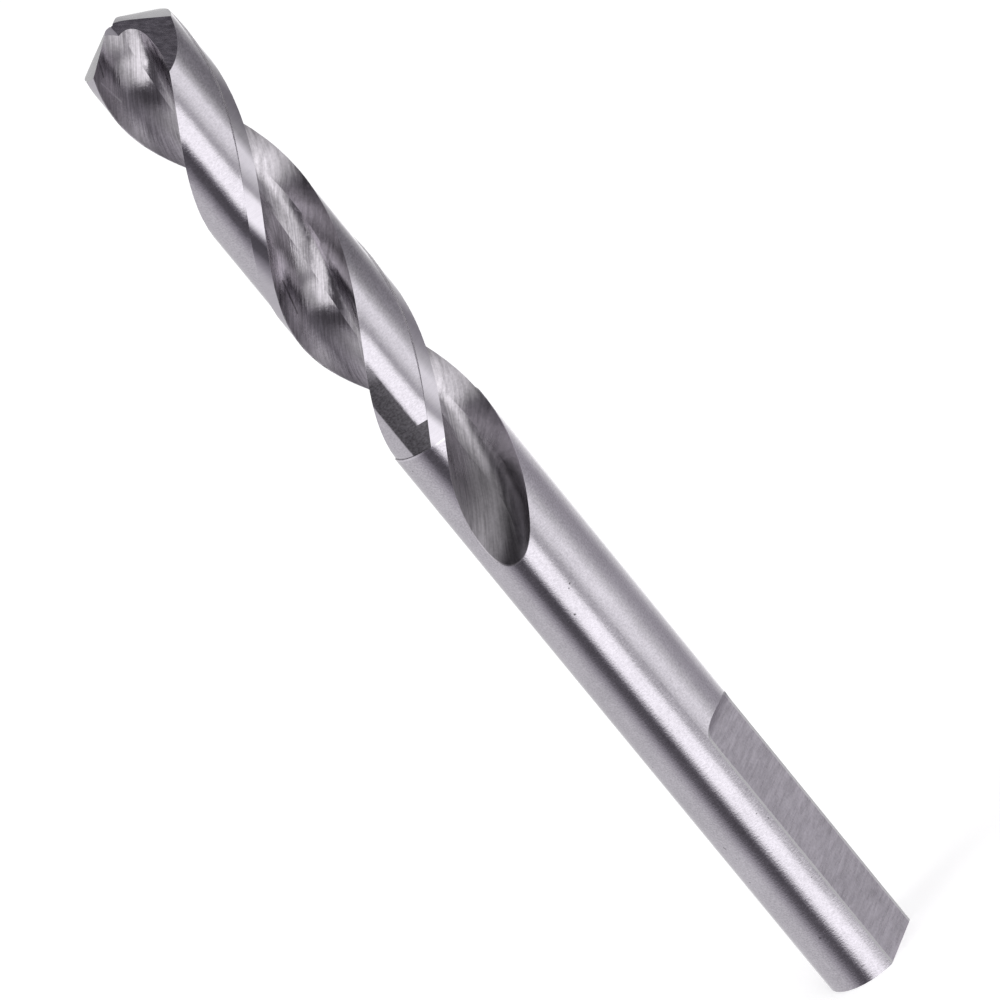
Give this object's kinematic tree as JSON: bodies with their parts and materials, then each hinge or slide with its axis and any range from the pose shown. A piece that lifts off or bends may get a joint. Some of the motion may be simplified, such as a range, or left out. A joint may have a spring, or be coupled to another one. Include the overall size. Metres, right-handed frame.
{
  "type": "pilot drill bit",
  "caption": "Short straight-shank twist drill for the middle of a hole saw arbor, with a set-screw flat and a split point.",
  "frame": {"origin": "middle of the flat shank end, on the bit's axis", "axes": "+Z along the axis from the shank end to the point, +X out of the set-screw flat"},
  "size_m": [0.0064, 0.0064, 0.0727],
  "materials": {
    "steel": "ground, bare"
  },
  "bodies": {
    "root": {"pilot_drill_bit": "steel"}
  },
  "joints": []
}
